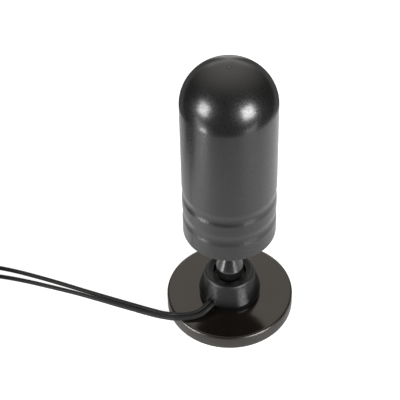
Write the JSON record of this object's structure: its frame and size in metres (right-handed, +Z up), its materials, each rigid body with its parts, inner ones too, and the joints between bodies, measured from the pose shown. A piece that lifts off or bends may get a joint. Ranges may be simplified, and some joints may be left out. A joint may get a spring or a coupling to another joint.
{
  "type": "cellular booster antenna",
  "caption": "Domed cellular antenna for a signal booster, on a ball-jointed magnetic foot, with thin twin coaxial leads that end in screw-on plugs.",
  "frame": {"origin": "centre of the foot's underside, on the surface that the antenna stands on", "axes": "+Z up along the antenna, -Y towards the side that the picture shows, -X towards the leads' far ends"},
  "size_m": [0.2633, 0.1214, 0.1979],
  "materials": {
    "satin_shell": "fine moulded satin texture",
    "foot_shell": "smooth semi-gloss moulding",
    "gloss_stud": "polished gloss moulding",
    "black_rubber": "matt rubber",
    "lead_jacket": "smooth extruded jacket with a slight sheen",
    "nylon": "natural nylon",
    "ferrite": "sintered ferrite",
    "zinc_steel": "zinc plated",
    "circuit_board": "green solder mask over glass fibre",
    "copper": "bare copper foil",
    "gold_plate": "gold-plated brass",
    "white_insulator": "white fluoropolymer"
  },
  "bodies": {
    "base": {"foot_shell": "foot_shell", "foot_pad": "black_rubber", "ring_magnet": "ferrite", "yoke_plate": "zinc_steel", "cup_screws": "zinc_steel", "socket_cup": "satin_shell", "retaining_ring": "satin_shell", "lead_grommet": "black_rubber", "cup_leads": "lead_jacket", "lead_1": "lead_jacket", "lead_2": "lead_jacket", "coil_1": "lead_jacket", "coil_2": "lead_jacket", "coil_ties": "black_rubber", "tail_1": "lead_jacket", "tail_2": "lead_jacket", "plug_boot_1": "black_rubber", "plug_boot_2": "black_rubber", "plug_body_1": "gold_plate", "plug_body_2": "gold_plate", "plug_insulators": "white_insulator", "plug_pins": "gold_plate"},
    "seat": {"ball_seat": "nylon"},
    "antenna": {"ball_stud": "gloss_stud", "bottom_cap": "satin_shell", "stud_washer": "zinc_steel", "stud_nut": "zinc_steel", "cap_seal": "black_rubber", "cap_screws": "zinc_steel", "radome": "satin_shell", "board_carrier": "nylon", "carrier_screws": "zinc_steel", "antenna_board_1": "circuit_board", "antenna_board_2": "circuit_board", "dipole_1": "copper", "dipole_2": "copper", "top_spacer": "nylon", "inner_leads": "lead_jacket"},
    "nut_1": {"coupling_nut_1": "gold_plate"},
    "nut_2": {"coupling_nut_2": "gold_plate"}
  },
  "joints": [
    {"name": "swivel", "type": "hinge", "parent": "base", "child": "seat", "pos_m": [0, 0, 0.024], "axis": [0, 0, 1], "range_deg": [-180, 180]},
    {"name": "tilt", "type": "hinge", "parent": "seat", "child": "antenna", "pos_m": [0, 0, 0.024], "axis": [1, 0, 0], "range_deg": [-12, 12]},
    {"name": "nut_1_spin", "type": "hinge", "parent": "base", "child": "nut_1", "pos_m": [-0.219, 0.077, 0.0047], "axis": [0, 1, 0], "continuous": true},
    {"name": "nut_2_spin", "type": "hinge", "parent": "base", "child": "nut_2", "pos_m": [-0.215, -0.0265, 0.0047], "axis": [0, -1, 0], "continuous": true}
  ]
}
